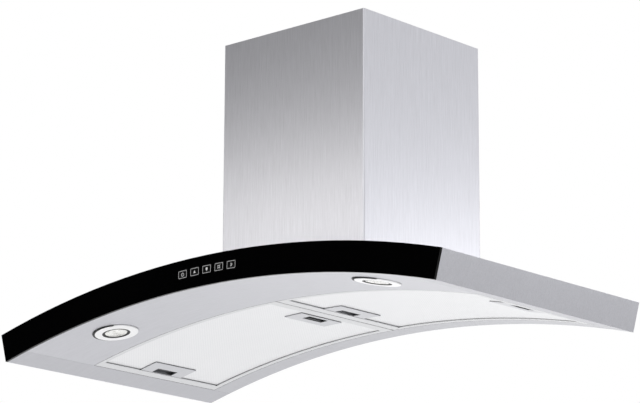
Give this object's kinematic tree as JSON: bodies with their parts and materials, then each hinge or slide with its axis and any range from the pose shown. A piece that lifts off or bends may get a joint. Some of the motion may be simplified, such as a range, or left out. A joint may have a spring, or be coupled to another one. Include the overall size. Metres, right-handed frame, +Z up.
{
  "type": "wall mount range hood",
  "caption": "Wall mount range hood with an arched stainless canopy, black glass fascia with push keys, lamps, curved swing-down grease filters and a telescopic chimney.",
  "frame": {"origin": "centre of the four wall screw holes, on the wall plane", "axes": "+X to the right along the hood's width, +Y into the wall, +Z up"},
  "size_m": [0.9, 0.4664, 0.5044],
  "materials": {
    "brushed_steel": "fine brushed grain",
    "zinc_sheet": "galvanised sheet",
    "black_glass": "polished toughened glass, black behind",
    "key_cap": "gloss black with a light outline and symbol",
    "filter_frame": "satin",
    "filter_mesh": "expanded mesh, bright",
    "filter_media": "layers of expanded mesh",
    "latch": "satin",
    "lamp_ring": "satin chrome",
    "lamp_lens": "frosted",
    "lamp_body": "cast",
    "board": "circuit board",
    "dark_plastic": "moulded, fine texture",
    "grey_plastic": "moulded",
    "white_plastic": "moulded",
    "impeller": "galvanised",
    "motor": "satin paint",
    "bright_steel": "turned and plated"
  },
  "bodies": {
    "root": {"top_skin": "brushed_steel", "front_channel": "zinc_sheet", "back_channel": "zinc_sheet", "end_panel_left": "brushed_steel", "end_panel_right": "brushed_steel", "lamp_panel": "brushed_steel", "side_strip_left": "brushed_steel", "side_strip_right": "brushed_steel", "rear_strip": "brushed_steel", "filter_crossbar": "zinc_sheet", "glass_fascia": "black_glass", "key_carrier": "dark_plastic", "control_board": "board", "lamp_ring_left": "lamp_ring", "lamp_ring_right": "lamp_ring", "lamp_lens_left": "lamp_lens", "lamp_lens_right": "lamp_lens", "lamp_body_left": "lamp_body", "lamp_body_right": "lamp_body", "lamp_driver": "white_plastic", "blower_box": "zinc_sheet", "scroll_left": "grey_plastic", "scroll_right": "grey_plastic", "motor": "motor", "motor_spider": "motor", "capacitor": "white_plastic", "junction_box": "dark_plastic", "junction_cover": "dark_plastic", "cord_gland": "dark_plastic", "outlet_collar": "dark_plastic", "damper_pin": "bright_steel", "hanging_plate": "zinc_sheet", "lower_chimney": "brushed_steel", "blower_screws": "bright_steel"},
    "key_1": {"key_1": "key_cap"},
    "key_2": {"key_2": "key_cap"},
    "key_3": {"key_3": "key_cap"},
    "key_4": {"key_4": "key_cap"},
    "key_5": {"key_5": "key_cap"},
    "filter_left": {"filter_frame_left": "filter_frame", "filter_mesh_left": "filter_mesh", "filter_media_left": "filter_media", "handle_outer_left": "filter_frame", "handle_inner_left": "filter_frame"},
    "latch_outer_left": {"latch_outer_left": "latch"},
    "latch_inner_left": {"latch_inner_left": "latch"},
    "filter_right": {"filter_frame_right": "filter_frame", "filter_mesh_right": "filter_mesh", "filter_media_right": "filter_media", "handle_outer_right": "filter_frame", "handle_inner_right": "filter_frame"},
    "latch_outer_right": {"latch_outer_right": "latch"},
    "latch_inner_right": {"latch_inner_right": "latch"},
    "impeller": {"impeller": "impeller", "motor_shaft": "bright_steel"},
    "damper_flap_left": {"damper_flap_left": "grey_plastic"},
    "damper_flap_right": {"damper_flap_right": "grey_plastic"},
    "upper_chimney": {"upper_chimney": "brushed_steel"}
  },
  "joints": [
    {"name": "key_1_press", "type": "slide", "parent": "root", "child": "key_1", "axis": [0, 1, 0], "range_m": [0, 0.0015], "stiffness_N_per_m": 300, "springref_m": -0.002},
    {"name": "key_2_press", "type": "slide", "parent": "root", "child": "key_2", "axis": [0, 1, 0], "range_m": [0, 0.0015], "stiffness_N_per_m": 300, "springref_m": -0.002},
    {"name": "key_3_press", "type": "slide", "parent": "root", "child": "key_3", "axis": [0, 1, 0], "range_m": [0, 0.0015], "stiffness_N_per_m": 300, "springref_m": -0.002},
    {"name": "key_4_press", "type": "slide", "parent": "root", "child": "key_4", "axis": [0, 1, 0], "range_m": [0, 0.0015], "stiffness_N_per_m": 300, "springref_m": -0.002},
    {"name": "key_5_press", "type": "slide", "parent": "root", "child": "key_5", "axis": [0, 1, 0], "range_m": [0, 0.0015], "stiffness_N_per_m": 300, "springref_m": -0.002},
    {"name": "filter_left_swing", "type": "hinge", "parent": "root", "child": "filter_left", "pos_m": [-0.00501, -0.177, -0.17401], "axis": [0, -1, 0], "range_deg": [0, 80]},
    {"name": "latch_outer_left_slide", "type": "slide", "parent": "filter_left", "child": "latch_outer_left", "axis": [0.9764, 0, 0.2161], "range_m": [0, 0.006], "stiffness_N_per_m": 400, "springref_m": -0.008},
    {"name": "latch_inner_left_slide", "type": "slide", "parent": "filter_left", "child": "latch_inner_left", "axis": [-0.9996, 0, -0.0266], "range_m": [0, 0.006], "stiffness_N_per_m": 400, "springref_m": -0.008},
    {"name": "filter_right_swing", "type": "hinge", "parent": "root", "child": "filter_right", "pos_m": [0.00501, -0.177, -0.17401], "axis": [0, 1, 0], "range_deg": [0, 80]},
    {"name": "latch_outer_right_slide", "type": "slide", "parent": "filter_right", "child": "latch_outer_right", "axis": [-0.9764, 0, 0.2161], "range_m": [0, 0.006], "stiffness_N_per_m": 400, "springref_m": -0.008},
    {"name": "latch_inner_right_slide", "type": "slide", "parent": "filter_right", "child": "latch_inner_right", "axis": [0.9998, 0, -0.0218], "range_m": [0, 0.006], "stiffness_N_per_m": 400, "springref_m": -0.008},
    {"name": "impeller_spin", "type": "hinge", "parent": "root", "child": "impeller", "pos_m": [0, -0.112, -0.009], "axis": [1, 0, 0], "continuous": true},
    {"name": "damper_flap_left_swing", "type": "hinge", "parent": "root", "child": "damper_flap_left", "pos_m": [0, -0.151, 0.172], "axis": [0, 1, 0], "range_deg": [0, 80]},
    {"name": "damper_flap_right_swing", "type": "hinge", "parent": "root", "child": "damper_flap_right", "pos_m": [0, -0.151, 0.172], "axis": [0, -1, 0], "range_deg": [0, 80]},
    {"name": "upper_chimney_slide", "type": "slide", "parent": "root", "child": "upper_chimney", "axis": [0, 0, 1], "range_m": [0, 0.32]}
  ]
}
